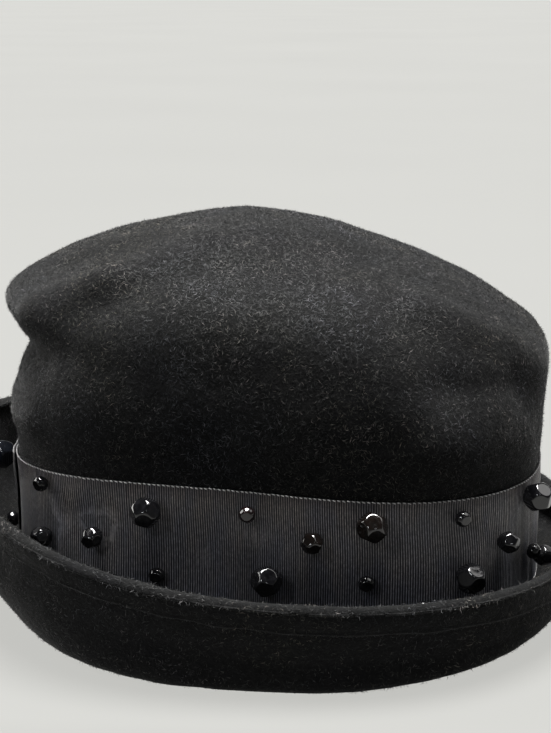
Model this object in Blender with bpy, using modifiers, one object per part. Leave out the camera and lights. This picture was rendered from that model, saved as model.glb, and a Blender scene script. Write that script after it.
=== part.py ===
"""A brimmed cloche hat: one felt body of crown and rolled-up brim, a ribbed ribbon
band lapped at the back, and faceted beads sewn on the band.
+X is the front, +Y the wearer's left, +Z up.  The table below is in millimetres."""
import math

import bmesh
import bpy
import numpy as np
from mathutils import Matrix, Vector

MM = 0.001

# ---------------------------------------------------------------- driving sizes
FELT = 2.2              # felt wall
WELT_DEPTH = 9.4        # how far the edge is turned over on the outside of the brim
WELT_LAYER = 2.1        # the turned-over layer
WELT_SWELL = 0.35       # the fold is a little fatter than the two layers
RIBBON = 0.7            # ribbon thickness
RIBBON_WIDTH = 40.0
RIBBON_SPAN = 1.93      # the same in levels of the table
RIBBON_GAP = 0.3        # between felt and ribbon, and between the lapped ends
LAP_AT = 185.0          # where the upper end of the ribbon stops, degrees from the front
LAP_LENGTH = 15.0       # degrees of overlap
BEAD_GAP = 0.3
BEAD_SIZES = {"large": 10.3, "medium": 7.4, "small": 5.5}   # across
BEAD_DEEP = {"large": 9.0, "medium": 6.8, "small": 3.9}     # front to back

# Sections of the felt, from the middle of the crown's top down the wall and out to the rim.
# The heights run through z_back, z_side and z_front, and z_skew bends them between.
# name, centre_x, half_length, half_width, squareness, z_back, z_side, z_front, z_skew
SECTIONS = [
    ("crown_pole", -10.6, 0.0, 0.0, 2.2, 139.4, 139.4, 139.4, 0.0),
    ("crown_cap", -9.3, 33.1, 26.7, 2.2, 133.9, 135.8, 133.3, 0.0),
    ("crown_top", -2.3, 65.3, 51.0, 2.3, 127.5, 123.7, 118.9, 0.0),
    ("shoulder", -4.0, 89.0, 69.0, 2.5, 113.8, 109.7, 104.9, 0.0),
    ("bulge", 5.0, 91.1, 76.8, 2.8, 102.2, 92.2, 94.6, 0.0),
    ("waist", 3.4, 91.8, 78.8, 3.0, 84.2, 76.3, 74.6, 0.0),
    ("ribbon_top", 2.4, 92.2, 78.0, 2.7, 56.8, 60.1, 55.5, 1.3),
    ("ribbon_middle", 3.0, 91.3, 77.8, 2.8, 37.0, 39.0, 35.0, 0.6),
    ("join", 2.8, 91.8, 78.3, 2.9, 17.2, 17.8, 14.4, 0.0),
    ("turn", 2.8, 95.5, 83.1, 3.0, 14.9, 7.9, 9.6, 0.0),
    ("dip", 6.5, 97.7, 97.3, 2.8, 12.6, 0.0, 14.3, 0.0),
    ("upturn", 0.3, 110.3, 99.6, 2.5, 30.9, 11.9, 15.6, 0.0),
    ("wall", -0.3, 110.8, 103.4, 2.4, 47.5, 23.1, 21.7, -1.2),
    ("rim", -0.8, 109.5, 105.3, 2.4, 62.7, 33.5, 27.4, -2.2),
]
LEVEL = {row[0]: k for k, row in enumerate(SECTIONS)}

# Folds of the soft crown, each a ridge (height above zero) or a hollow along a line on the felt.
# name, around_1, level_1, around_2, level_2, width, height   (degrees, sections, mm)
FOLDS = [
    ("back_pinch", 150.0, 4.45, 206.0, 4.3, 5.5, -2.4),
    ("pinch_tail", 206.0, 4.25, 216.0, 4.2, 5.0, -1.3),
    ("back_roll", 188.0, 5.35, 214.0, 5.4, 7.0, 3.0),
    ("back_crease", 214.0, 3.0, 226.0, 2.4, 8.0, 3.0),
    ("top_crease", 226.0, 2.4, 246.0, 1.3, 9.0, 2.8),
    ("crease_valley", 199.0, 2.3, 213.0, 1.5, 9.0, -2.6),
    ("under_crease", 226.0, 3.2, 238.0, 2.4, 10.0, -0.9),
    ("front_crease", 322.0, 2.4, 336.0, 3.25, 8.0, 3.0),
    ("front_dent", 312.0, 3.92, 329.0, 4.15, 13.5, -6.3),
    ("front_low_swell", 309.0, 5.1, 313.0, 5.4, 11.0, 2.0),
    ("side_swell", 250.0, 2.6, 300.0, 2.6, 16.0, 2.4),
    ("crown_hollow", 296.0, 1.3, 322.0, 1.5, 12.0, -1.6),
    ("left_crease", 46.0, 2.3, 60.0, 3.1, 10.0, 2.6),
    ("left_dent", 84.0, 3.8, 112.0, 3.9, 18.0, -4.5),
    ("left_back_crease", 128.0, 2.35, 142.0, 3.0, 9.0, 2.6),
]

# Beads on the band: size, around (degrees), drop below the ribbon's top edge (mm), spin, tip
BEADS = [
    ("large", 190.9, 3.9, 20, 12), ("small", 200.3, 24.9, 0, 0), ("small", 219.1, 3.9, 0, 6),
    ("medium", 219.9, 22.0, 30, 10), ("medium", 232.7, 18.3, 10, 14), ("large", 244.9, 7.9, 36, 18),
    ("small", 246.2, 28.4, 20, 8), ("small", 267.2, 7.0, 10, 4), ("large", 271.5, 27.0, 0, 16),
    ("medium", 282.1, 14.0, 50, 20), ("large", 294.9, 7.1, 24, 20), ("small", 293.8, 27.2, 0, 6),
    ("small", 305.2, 36.1, 15, 4), ("small", 313.8, 6.4, 5, 5), ("large", 314.2, 26.3, 12, 10),
    ("medium", 323.6, 17.5, 64, 16), ("large", 332.9, 4.8, 40, 12), ("small", 334.6, 25.8, 0, 8),
    ("medium", 339.3, 29.4, 22, 10), ("medium", 29.0, 19.0, 8, 12), ("small", 34.0, 33.0, 0, 6),
    ("large", 40.0, 8.0, 30, 16), ("medium", 49.0, 25.0, 70, 8), ("small", 56.0, 11.0, 0, 5),
    ("large", 65.0, 28.0, 15, 18), ("small", 72.0, 6.0, 25, 4), ("medium", 79.0, 18.0, 40, 12),
    ("large", 89.0, 8.5, 55, 14), ("small", 92.0, 31.0, 0, 7), ("medium", 102.0, 23.0, 20, 16),
    ("small", 109.0, 7.0, 10, 5), ("large", 118.0, 26.0, 5, 12), ("small", 127.0, 11.5, 0, 4),
    ("medium", 133.0, 31.0, 62, 10), ("large", 141.0, 8.0, 28, 15), ("small", 148.0, 22.0, 30, 6),
    ("medium", 155.0, 12.0, 0, 14), ("small", 160.0, 30.0, 12, 5), ("small", 166.0, 6.0, 0, 5),
    ("large", 168.0, 19.0, 40, 12),
]


# ---------------------------------------------------------------- the felt surface
def section_at(level):
    """The table's columns at a level, which may lie between two rows."""
    table = np.array([row[1:] for row in SECTIONS], float)
    ends = np.vstack([2 * table[0] - table[1], table, 2 * table[-1] - table[-2]])
    level = np.asarray(level, float)
    k = np.clip(np.floor(level).astype(int), 0, len(table) - 2)
    f = (level - k)[..., None]
    a, b, c, d = ends[k], ends[k + 1], ends[k + 2], ends[k + 3]
    return 0.5 * (2 * b + (c - a) * f + (2 * a - 5 * b + 4 * c - d) * f**2 + (3 * b - a - 3 * c + d) * f**3)


def plain_felt(around, level):
    """Middle of the felt without its folds."""
    around, level = np.broadcast_arrays(np.asarray(around, float), np.asarray(level, float))
    col = section_at(level)
    centre, half_l, half_w, power, back, side, front, skew = np.moveaxis(col, -1, 0)
    half_l, half_w = np.maximum(half_l, 1e-4), np.maximum(half_w, 1e-4)
    c, s = np.cos(around), np.sin(around)
    reach = (np.abs(c / half_l) ** power + np.abs(s / half_w) ** power) ** (-1 / power)
    mean, sway, arch = (front + back) / 4 + side / 2, (front - back) / 2, (front + back) / 4 - side / 2
    height = mean + sway * c + arch * (2 * c * c - 1) + skew * (4 * c**3 - 4 * c)
    return np.stack([centre + reach * c, reach * s, height], -1)


def normal_of(surface, around, level):
    e, f = 0.01, 0.04
    low = np.maximum(level - f, 0.02)
    high = np.minimum(level + f, len(SECTIONS) - 1.0)
    across = surface(around + e, level) - surface(around - e, level)
    along = surface(around, high) - surface(around, low)
    n = np.cross(along, across)
    return n / np.linalg.norm(n, axis=-1, keepdims=True)


def fold_height(points):
    total = np.zeros(points.shape[:-1])
    for _, a1, l1, a2, l2, width, height in FOLDS:
        t = np.linspace(0, 1, 13)
        line = plain_felt(np.radians(a1 + (a2 - a1) * t), l1 + (l2 - l1) * t)
        nearest = np.full(points.shape[:-1], np.inf)
        for p, q in zip(line[:-1], line[1:]):
            d = q - p
            s = np.clip(((points - p) @ d) / (d @ d), 0, 1)
            nearest = np.minimum(nearest, ((points - p - s[..., None] * d) ** 2).sum(-1))
        total += height * np.exp(-nearest / width**2)
    return total


def felt(around, level):
    """Middle of the felt with its folds."""
    around, level = np.broadcast_arrays(np.asarray(around, float), np.asarray(level, float))
    points = plain_felt(around, level)
    lift = fold_height(points) * np.clip((LEVEL["ribbon_top"] - 0.15 - level) / 0.6, 0, 1)
    return points + normal_of(plain_felt, around, level) * lift[..., None]


def levels_near_rim(around, distances):
    """Levels that lie the given distances from the rim, measured along the felt."""
    fine = np.linspace(LEVEL["dip"] + 0.5, len(SECTIONS) - 1, 160)
    curve = felt(around[:, None], fine[None])
    steps = np.linalg.norm(np.diff(curve, axis=1), axis=-1)
    run = np.concatenate([np.zeros((len(around), 1)), np.cumsum(steps, axis=1)], axis=1)
    return np.stack([np.interp(r[-1] - distances, r, fine) for r in run])


def outward(around, level, offset):
    return felt(around, level) + normal_of(felt, around, level) * np.asarray(offset)[..., None]


def loft(name, rings, poles, material):
    """A closed body through rings of points, each end gathered to one pole."""
    bm = bmesh.new()
    made = [[bm.verts.new(p * MM) for p in ring] for ring in rings]
    first, last = (bm.verts.new(p * MM) for p in poles)
    n = len(made[0])
    for low, high in zip(made, made[1:]):
        for i in range(n):
            j = (i + 1) % n
            bm.faces.new((low[i], high[i], high[j], low[j]))
    for i in range(n):
        j = (i + 1) % n
        bm.faces.new((first, made[0][i], made[0][j]))
        bm.faces.new((last, made[-1][j], made[-1][i]))
    return finish(name, bm, material)


def finish(name, bm, material, smooth=True):
    bmesh.ops.recalc_face_normals(bm, faces=bm.faces)
    mesh = bpy.data.meshes.new(name)
    bm.to_mesh(mesh)
    bm.free()
    mesh.materials.append(material)
    mesh.polygons.foreach_set("use_smooth", [smooth] * len(mesh.polygons))
    obj = bpy.data.objects.new(name, mesh)
    hat.objects.link(obj)
    return obj


def make_felt(material):
    around = np.radians(np.arange(0, 360, 5.0))
    crown = [0.3, 0.85, 1.5, 2.1, 2.7, 3.2, 3.7, 4.1, 4.5, 5.0, 5.5, 6.0, 6.6, 7.3]
    brim = [8.0, 8.5, 9.0, 9.4, 9.7, 9.9, 10.1, 10.3, 10.55, 10.9]
    edge = levels_near_rim(around, np.array([WELT_DEPTH + 0.7, WELT_DEPTH - 0.7, 4.5, 1.2]))
    level = np.concatenate([np.broadcast_to(crown + brim, (len(around), len(crown + brim))), edge], axis=1)
    a = around[:, None]
    outer = outward(a, level, np.full(level.shape, FELT / 2))
    # Outside of the brim and inside of the crown, with the turned-over layer near the rim.
    layer = np.full(level.shape, FELT / 2)
    layer[:, -3:] += WELT_LAYER
    inner = outward(a, level, -layer)
    # The brim's two low sides are pressed flat where the hat rests on them.
    inner[..., 2] = np.maximum(inner[..., 2], 0.0)
    # The fold at the rim is a half circle over both layers.
    tip = np.full((len(around), 1), len(SECTIONS) - 1.0)
    n = normal_of(felt, a, tip)[:, 0]
    e = felt(a, tip)[:, 0]
    back = felt(a, tip - 0.1)[:, 0]
    onward = (e - back) / np.linalg.norm(e - back, axis=-1, keepdims=True)
    half = (FELT + WELT_LAYER) / 2 + WELT_SWELL
    centre = e - n * WELT_LAYER / 2 - onward * half
    turn = [centre + half * (n * math.cos(t) + onward * math.sin(t)) for t in np.radians([18, 55, 90, 125, 162])]
    rings = [outer[:, k] for k in range(outer.shape[1])] + turn
    rings += [inner[:, k] for k in range(inner.shape[1] - 1, -1, -1)]
    top = felt(np.array([0.0]), np.array([0.02]))[0]
    poles = (top + [0, 0, FELT / 2], top - [0, 0, FELT / 2])
    return loft("felt_body", rings, poles, material)


def ribbon_level(drop):
    return LEVEL["ribbon_top"] + drop / RIBBON_WIDTH * RIBBON_SPAN


def ribbon_at(around, drop, lift):
    """A point on the band: `drop` below its top edge, `lift` off the felt's outside."""
    around, drop = np.broadcast_arrays(np.asarray(around, float), np.asarray(drop, float))
    return outward(around, ribbon_level(drop), np.broadcast_to(FELT / 2 + np.asarray(lift, float), around.shape))


def make_ribbon(material):
    turn = np.arange(LAP_AT - 360.0, LAP_AT + LAP_LENGTH + 1.0, 5.0)
    rise = np.clip((turn - (LAP_AT - 10.0)) / 10.0, 0, 1)
    rise = rise * rise * (3 - 2 * rise) * (RIBBON + RIBBON_GAP)
    drops = np.linspace(0, RIBBON_WIDTH, 5)
    grid = ribbon_at(np.radians(turn)[:, None], drops[None], RIBBON_GAP + rise[:, None])
    bm = bmesh.new()
    made = [[bm.verts.new(p * MM) for p in line] for line in grid]
    for low, high in zip(made, made[1:]):
        for k in range(len(drops) - 1):
            bm.faces.new((low[k], low[k + 1], high[k + 1], high[k]))
    mesh = bpy.data.meshes.new("ribbon_band")
    bm.to_mesh(mesh)
    bm.free()
    mesh.materials.append(material)
    mesh.polygons.foreach_set("use_smooth", [True] * len(mesh.polygons))
    obj = bpy.data.objects.new("ribbon_band", mesh)
    hat.objects.link(obj)
    solid = obj.modifiers.new("thickness", "SOLIDIFY")
    solid.thickness = RIBBON * MM
    solid.offset = 1.0
    solid.use_even_offset = True
    return obj


# ---------------------------------------------------------------- beads
def ball_mesh(name, across, deep, material):
    """Twelve five-sided facets with their corners cut."""
    bm = bmesh.new()
    bmesh.ops.create_icosphere(bm, subdivisions=1, radius=1.0)
    centres = [f.calc_center_median().normalized() for f in bm.faces]
    bm.free()
    bm = bmesh.new()
    for c in centres:
        bm.verts.new(c)
    bmesh.ops.convex_hull(bm, input=bm.verts)
    bmesh.ops.dissolve_limit(bm, angle_limit=math.radians(5), verts=bm.verts, edges=bm.edges)
    bmesh.ops.bevel(bm, geom=list(bm.verts), offset=0.2, affect="VERTICES", segments=1)
    # One facet faces outwards, along +Z.
    face = max((f for f in bm.faces if len(f.verts) > 5), key=lambda f: f.calc_center_median().z)
    n = face.calc_center_median().normalized()
    bmesh.ops.rotate(bm, verts=bm.verts, cent=(0, 0, 0), matrix=n.rotation_difference(Vector((0, 0, 1))).to_matrix())
    wide = max(math.hypot(v.co.x, v.co.y) for v in bm.verts)
    tall = max(v.co.z for v in bm.verts)
    for v in bm.verts:
        v.co = Vector((v.co.x / wide * across / 2, v.co.y / wide * across / 2, v.co.z / tall * deep / 2)) * MM
    return bead_mesh(name, bm, material)


def disc_mesh(name, across, deep, material):
    """A flat table and back with two rows of facets round the rim."""
    bm = bmesh.new()
    for r, z, turned in ((0.66, 1.0, 0.5), (1.0, 0.28, 0.0), (1.0, -0.28, 0.0), (0.66, -1.0, 0.5)):
        for k in range(9):
            a = 2 * math.pi * (k + turned) / 9
            bm.verts.new(Vector((r * across / 2 * math.cos(a), r * across / 2 * math.sin(a), z * deep / 2)) * MM)
    bmesh.ops.convex_hull(bm, input=bm.verts)
    bmesh.ops.dissolve_limit(bm, angle_limit=math.radians(1), verts=bm.verts, edges=bm.edges)
    return bead_mesh(name, bm, material)


def bead_mesh(name, bm, material):
    bmesh.ops.recalc_face_normals(bm, faces=bm.faces)
    mesh = bpy.data.meshes.new(name)
    bm.to_mesh(mesh)
    bm.free()
    mesh.materials.append(material)
    return mesh


def bead_place(size, around, drop, spin, tip, corners):
    """Where a bead sits: its lowest corner just off the ribbon, its facet leaning by `tip` towards `spin`."""
    a = np.array([math.radians(around)])
    d = np.array([float(drop)])
    n = normal_of(felt, a, ribbon_level(d))[0]
    lapped = LAP_AT - 12.0 < around % 360 < LAP_AT + LAP_LENGTH + 2.0
    turn = Matrix.Rotation(math.radians(spin), 3, "Z") @ Matrix.Rotation(math.radians(tip), 3, "X")
    below = -min((turn @ c).z for c in corners) / MM
    lift = RIBBON_GAP + RIBBON + BEAD_GAP + below + (RIBBON + RIBBON_GAP if lapped else 0.0)
    centre = ribbon_at(a, d, lift)[0]
    z = Vector(n)
    x = Vector((0, 0, 1)).cross(z).normalized()
    place = (Matrix((x, z.cross(x), z)).transposed() @ turn).to_4x4()
    place.translation = Vector(centre) * MM
    return place


def make_beads(material):
    meshes = {
        "large": ball_mesh("bead_large", BEAD_SIZES["large"], BEAD_DEEP["large"], material),
        "medium": ball_mesh("bead_medium", BEAD_SIZES["medium"], BEAD_DEEP["medium"], material),
        "small": disc_mesh("bead_small", BEAD_SIZES["small"], BEAD_DEEP["small"], material),
    }
    count = dict.fromkeys(meshes, 0)
    for size, around, drop, spin, tip in BEADS:
        count[size] += 1
        obj = bpy.data.objects.new(f"bead_{size}_{count[size]:02d}", meshes[size])
        obj.matrix_world = bead_place(size, around, drop, spin, tip, [v.co for v in meshes[size].vertices])
        hat.objects.link(obj)


# ---------------------------------------------------------------- the hat
def principled(name, colour, roughness, metallic=0.0):
    material = bpy.data.materials.new(name)
    material.use_nodes = True
    shader = material.node_tree.nodes["Principled BSDF"]
    shader.inputs["Base Color"].default_value = (*colour, 1.0)
    shader.inputs["Roughness"].default_value = roughness
    shader.inputs["Metallic"].default_value = metallic
    return material


for old in list(bpy.data.objects):
    bpy.data.objects.remove(old, do_unlink=True)
hat = bpy.data.collections.new("cloche_hat")
bpy.context.scene.collection.children.link(hat)

make_felt(principled("black_felt", (0.012, 0.012, 0.013), 0.95))
make_ribbon(principled("black_ribbon", (0.014, 0.015, 0.017), 0.6))
make_beads(principled("black_glass", (0.004, 0.004, 0.005), 0.06))
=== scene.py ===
"""Looks of the cloche hat: napped black felt with a turned-over edge at the rim, a ribbed
ribbon with a corded edge, and faceted glass beads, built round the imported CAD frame.
+X is the front, +Y the wearer's left, +Z up.  The tables are in millimetres, as in the CAD."""
import math

import bmesh
import bpy
import numpy as np
from mathutils import Matrix, Vector


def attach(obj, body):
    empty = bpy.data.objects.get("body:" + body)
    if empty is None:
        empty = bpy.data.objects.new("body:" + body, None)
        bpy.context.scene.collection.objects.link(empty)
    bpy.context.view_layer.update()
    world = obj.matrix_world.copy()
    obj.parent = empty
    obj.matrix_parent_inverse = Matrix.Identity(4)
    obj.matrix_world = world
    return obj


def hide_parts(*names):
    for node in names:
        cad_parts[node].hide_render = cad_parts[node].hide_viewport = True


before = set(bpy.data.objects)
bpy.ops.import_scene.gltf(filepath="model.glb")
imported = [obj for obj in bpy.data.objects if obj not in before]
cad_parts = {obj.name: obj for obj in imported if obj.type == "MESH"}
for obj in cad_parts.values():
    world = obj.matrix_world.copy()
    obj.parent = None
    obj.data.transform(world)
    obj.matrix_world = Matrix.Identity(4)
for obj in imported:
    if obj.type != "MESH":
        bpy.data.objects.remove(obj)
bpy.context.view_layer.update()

MM = 0.001

# ---------------------------------------------------------------- sizes, as in the CAD
FELT = 2.2
WELT_DEPTH = 9.4
WELT_LAYER = 2.1
WELT_SWELL = 0.35
RIBBON = 0.7
RIBBON_WIDTH = 40.0
RIBBON_SPAN = 1.93
RIBBON_GAP = 0.3
LAP_AT = 185.0
LAP_LENGTH = 15.0
BEAD_GAP = 0.3
BEAD_SIZES = {"large": 10.3, "medium": 7.4, "small": 5.5}
BEAD_DEEP = {"large": 9.0, "medium": 6.8, "small": 3.9}

# name, centre_x, half_length, half_width, squareness, z_back, z_side, z_front, z_skew
SECTIONS = [
    ("crown_pole", -10.6, 0.0, 0.0, 2.2, 139.4, 139.4, 139.4, 0.0),
    ("crown_cap", -9.3, 33.1, 26.7, 2.2, 133.9, 135.8, 133.3, 0.0),
    ("crown_top", -2.3, 65.3, 51.0, 2.3, 127.5, 123.7, 118.9, 0.0),
    ("shoulder", -4.0, 89.0, 69.0, 2.5, 113.8, 109.7, 104.9, 0.0),
    ("bulge", 5.0, 91.1, 76.8, 2.8, 102.2, 92.2, 94.6, 0.0),
    ("waist", 3.4, 91.8, 78.8, 3.0, 84.2, 76.3, 74.6, 0.0),
    ("ribbon_top", 2.4, 92.2, 78.0, 2.7, 56.8, 60.1, 55.5, 1.3),
    ("ribbon_middle", 3.0, 91.3, 77.8, 2.8, 37.0, 39.0, 35.0, 0.6),
    ("join", 2.8, 91.8, 78.3, 2.9, 17.2, 17.8, 14.4, 0.0),
    ("turn", 2.8, 95.5, 83.1, 3.0, 14.9, 7.9, 9.6, 0.0),
    ("dip", 6.5, 97.7, 97.3, 2.8, 12.6, 0.0, 14.3, 0.0),
    ("upturn", 0.3, 110.3, 99.6, 2.5, 30.9, 11.9, 15.6, 0.0),
    ("wall", -0.3, 110.8, 103.4, 2.4, 47.5, 23.1, 21.7, -1.2),
    ("rim", -0.8, 109.5, 105.3, 2.4, 62.7, 33.5, 27.4, -2.2),
]
LEVEL = {row[0]: k for k, row in enumerate(SECTIONS)}

# name, around_1, level_1, around_2, level_2, width, height   (degrees, sections, mm)
FOLDS = [
    ("back_pinch", 150.0, 4.45, 206.0, 4.3, 5.5, -2.4),
    ("pinch_tail", 206.0, 4.25, 216.0, 4.2, 5.0, -1.3),
    ("back_roll", 188.0, 5.35, 214.0, 5.4, 7.0, 3.0),
    ("back_crease", 214.0, 3.0, 226.0, 2.4, 8.0, 3.0),
    ("top_crease", 226.0, 2.4, 246.0, 1.3, 9.0, 2.8),
    ("crease_valley", 199.0, 2.3, 213.0, 1.5, 9.0, -2.6),
    ("under_crease", 226.0, 3.2, 238.0, 2.4, 10.0, -0.9),
    ("front_crease", 322.0, 2.4, 336.0, 3.25, 8.0, 3.0),
    ("front_dent", 312.0, 3.92, 329.0, 4.15, 13.5, -6.3),
    ("front_low_swell", 309.0, 5.1, 313.0, 5.4, 11.0, 2.0),
    ("side_swell", 250.0, 2.6, 300.0, 2.6, 16.0, 2.4),
    ("crown_hollow", 296.0, 1.3, 322.0, 1.5, 12.0, -1.6),
    ("left_crease", 46.0, 2.3, 60.0, 3.1, 10.0, 2.6),
    ("left_dent", 84.0, 3.8, 112.0, 3.9, 18.0, -4.5),
    ("left_back_crease", 128.0, 2.35, 142.0, 3.0, 9.0, 2.6),
]

# size, around (degrees), drop below the ribbon's top edge (mm), spin, tip
BEADS = [
    ("large", 190.9, 3.9, 20, 12), ("small", 200.3, 24.9, 0, 0), ("small", 219.1, 3.9, 0, 6),
    ("medium", 219.9, 22.0, 30, 10), ("medium", 232.7, 18.3, 10, 14), ("large", 244.9, 7.9, 36, 18),
    ("small", 246.2, 28.4, 20, 8), ("small", 267.2, 7.0, 10, 4), ("large", 271.5, 27.0, 0, 16),
    ("medium", 282.1, 14.0, 50, 20), ("large", 294.9, 7.1, 24, 20), ("small", 293.8, 27.2, 0, 6),
    ("small", 305.2, 36.1, 15, 4), ("small", 313.8, 6.4, 5, 5), ("large", 314.2, 26.3, 12, 10),
    ("medium", 323.6, 17.5, 64, 16), ("large", 332.9, 4.8, 40, 12), ("small", 334.6, 25.8, 0, 8),
    ("medium", 339.3, 29.4, 22, 10), ("medium", 29.0, 19.0, 8, 12), ("small", 34.0, 33.0, 0, 6),
    ("large", 40.0, 8.0, 30, 16), ("medium", 49.0, 25.0, 70, 8), ("small", 56.0, 11.0, 0, 5),
    ("large", 65.0, 28.0, 15, 18), ("small", 72.0, 6.0, 25, 4), ("medium", 79.0, 18.0, 40, 12),
    ("large", 89.0, 8.5, 55, 14), ("small", 92.0, 31.0, 0, 7), ("medium", 102.0, 23.0, 20, 16),
    ("small", 109.0, 7.0, 10, 5), ("large", 118.0, 26.0, 5, 12), ("small", 127.0, 11.5, 0, 4),
    ("medium", 133.0, 31.0, 62, 10), ("large", 141.0, 8.0, 28, 15), ("small", 148.0, 22.0, 30, 6),
    ("medium", 155.0, 12.0, 0, 14), ("small", 160.0, 30.0, 12, 5), ("small", 166.0, 6.0, 0, 5),
    ("large", 168.0, 19.0, 40, 12),
]

# ---------------------------------------------------------------- sizes of the looks, mm
AROUND = 384            # columns of the felt
NAP = {                 # fibres, shortest, longest, width, highest tip
    "nap_crown_a": (86000, 0.8, 2.5, 0.120, 1.1),
    "nap_crown_b": (86000, 0.8, 2.5, 0.120, 1.1),
    "nap_brim": (86000, 0.8, 2.4, 0.130, 1.0),
}
RIB = 0.85              # one rib of the ribbon
RIB_COLUMNS = 6
RIB_DEEP = 0.26
RIB_GROUP = 64          # ribs side by side on the ribbon's map, and rows of them
RIB_BANDS = 4
CORD_PITCH = 1.70       # slanted stitches of the ribbon's edges, one to two ribs


# ---------------------------------------------------------------- the felt surface
def section_at(level):
    """The table's columns at a level, which may lie between two rows."""
    table = np.array([row[1:] for row in SECTIONS], float)
    ends = np.vstack([2 * table[0] - table[1], table, 2 * table[-1] - table[-2]])
    level = np.asarray(level, float)
    k = np.clip(np.floor(level).astype(int), 0, len(table) - 2)
    f = (level - k)[..., None]
    a, b, c, d = ends[k], ends[k + 1], ends[k + 2], ends[k + 3]
    return 0.5 * (2 * b + (c - a) * f + (2 * a - 5 * b + 4 * c - d) * f**2 + (3 * b - a - 3 * c + d) * f**3)


def plain_felt(around, level):
    """Middle of the felt without its folds."""
    around, level = np.broadcast_arrays(np.asarray(around, float), np.asarray(level, float))
    col = section_at(level)
    centre, half_l, half_w, power, back, side, front, skew = np.moveaxis(col, -1, 0)
    half_l, half_w = np.maximum(half_l, 1e-4), np.maximum(half_w, 1e-4)
    c, s = np.cos(around), np.sin(around)
    reach = (np.abs(c / half_l) ** power + np.abs(s / half_w) ** power) ** (-1 / power)
    mean, sway, arch = (front + back) / 4 + side / 2, (front - back) / 2, (front + back) / 4 - side / 2
    height = mean + sway * c + arch * (2 * c * c - 1) + skew * (4 * c**3 - 4 * c)
    return np.stack([centre + reach * c, reach * s, height], -1)


def normal_of(surface, around, level):
    e, f = 0.01, 0.04
    low = np.maximum(level - f, 0.02)
    high = np.minimum(level + f, len(SECTIONS) - 1.0)
    across = surface(around + e, level) - surface(around - e, level)
    along = surface(around, high) - surface(around, low)
    n = np.cross(along, across)
    return n / np.linalg.norm(n, axis=-1, keepdims=True)


def fold_height(points):
    total = np.zeros(points.shape[:-1])
    for _, a1, l1, a2, l2, width, height in FOLDS:
        t = np.linspace(0, 1, 13)
        line = plain_felt(np.radians(a1 + (a2 - a1) * t), l1 + (l2 - l1) * t)
        nearest = np.full(points.shape[:-1], np.inf)
        for p, q in zip(line[:-1], line[1:]):
            d = q - p
            s = np.clip(((points - p) @ d) / (d @ d), 0, 1)
            nearest = np.minimum(nearest, ((points - p - s[..., None] * d) ** 2).sum(-1))
        total += height * np.exp(-nearest / width**2)
    return total


def felt(around, level):
    """Middle of the felt with its folds."""
    around, level = np.broadcast_arrays(np.asarray(around, float), np.asarray(level, float))
    points = plain_felt(around, level)
    lift = fold_height(points) * np.clip((LEVEL["ribbon_top"] - 0.15 - level) / 0.6, 0, 1)
    return points + normal_of(plain_felt, around, level) * lift[..., None]


def levels_near_rim(around, distances):
    """Levels that lie the given distances from the rim, measured along the felt."""
    fine = np.linspace(LEVEL["dip"] + 0.5, len(SECTIONS) - 1, 160)
    curve = felt(around[:, None], fine[None])
    steps = np.linalg.norm(np.diff(curve, axis=1), axis=-1)
    run = np.concatenate([np.zeros((len(around), 1)), np.cumsum(steps, axis=1)], axis=1)
    return np.stack([np.interp(r[-1] - distances, r, fine) for r in run])


def levels_by_run(start, end, step):
    """Levels about `step` mm apart along the felt, averaged over the way round."""
    fine = np.linspace(start, end, 400)
    a = np.radians(np.arange(0, 360, 15.0))[:, None]
    run = np.linalg.norm(np.diff(felt(a, fine[None]), axis=1), axis=-1).mean(0)
    run = np.concatenate([[0.0], np.cumsum(run)])
    return np.interp(np.linspace(0, run[-1], max(2, round(run[-1] / step) + 1)), run, fine)


def unit(v):
    return v / np.maximum(np.linalg.norm(v, axis=-1, keepdims=True), 1e-12)


def waves(points, size, seed, count=20):
    """Smooth unevenness from about -1 to 1, with features about `size` mm across."""
    rng = np.random.default_rng(seed)
    total = np.zeros(points.shape[:-1])
    for _ in range(count):
        way = unit(rng.normal(size=3)) * 2 * math.pi / (size * rng.uniform(1.2, 2.8))
        total += np.sin(points @ way + rng.uniform(0, 2 * math.pi))
    return total / math.sqrt(count)


# ---------------------------------------------------------------- meshes
def mesh_from(name, points, faces, material, smooth=True, uv=None, normals=None):
    """A mesh object from points in mm and an array of faces with equal numbers of corners."""
    mesh = bpy.data.meshes.new(name)
    faces = np.ascontiguousarray(faces, np.int32)
    sides = faces.shape[1]
    mesh.vertices.add(len(points))
    mesh.vertices.foreach_set("co", np.ascontiguousarray(points * MM, np.float32).ravel())
    mesh.loops.add(faces.size)
    mesh.loops.foreach_set("vertex_index", faces.ravel())
    mesh.polygons.add(len(faces))
    mesh.polygons.foreach_set("loop_start", np.arange(0, faces.size, sides, dtype=np.int32))
    mesh.update(calc_edges=True)
    mesh.polygons.foreach_set("use_smooth", np.full(len(faces), smooth))
    if uv is not None:
        mesh.uv_layers.new(name="OFBake").uv.foreach_set("vector", np.ascontiguousarray(uv, np.float32).ravel())
    if normals is not None:
        mesh.normals_split_custom_set_from_vertices(normals.tolist())
    mesh.materials.append(material)
    obj = bpy.data.objects.new(name, mesh)
    looks.objects.link(obj)
    return obj


def grid_faces(rows, columns, closed=True, first=0):
    """Four-cornered faces of a grid stored row by row; `closed` joins its last column to the first."""
    j = np.arange(columns if closed else columns - 1)
    i = np.arange(rows - 1)[:, None]
    k = (j + 1) % columns
    return np.stack([first + i * columns + j, first + i * columns + k,
                     first + (i + 1) * columns + k, first + (i + 1) * columns + j], -1).reshape(-1, 4)


def vertex_normals(points, faces):
    """Smooth normals from four-cornered faces."""
    p = points[faces]
    n = np.cross(p[:, 2] - p[:, 0], p[:, 3] - p[:, 1])
    total = np.zeros_like(points)
    for k in range(faces.shape[1]):
        for axis in range(3):
            total[:, axis] += np.bincount(faces[:, k], n[:, axis], len(points))
    return unit(total)


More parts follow.
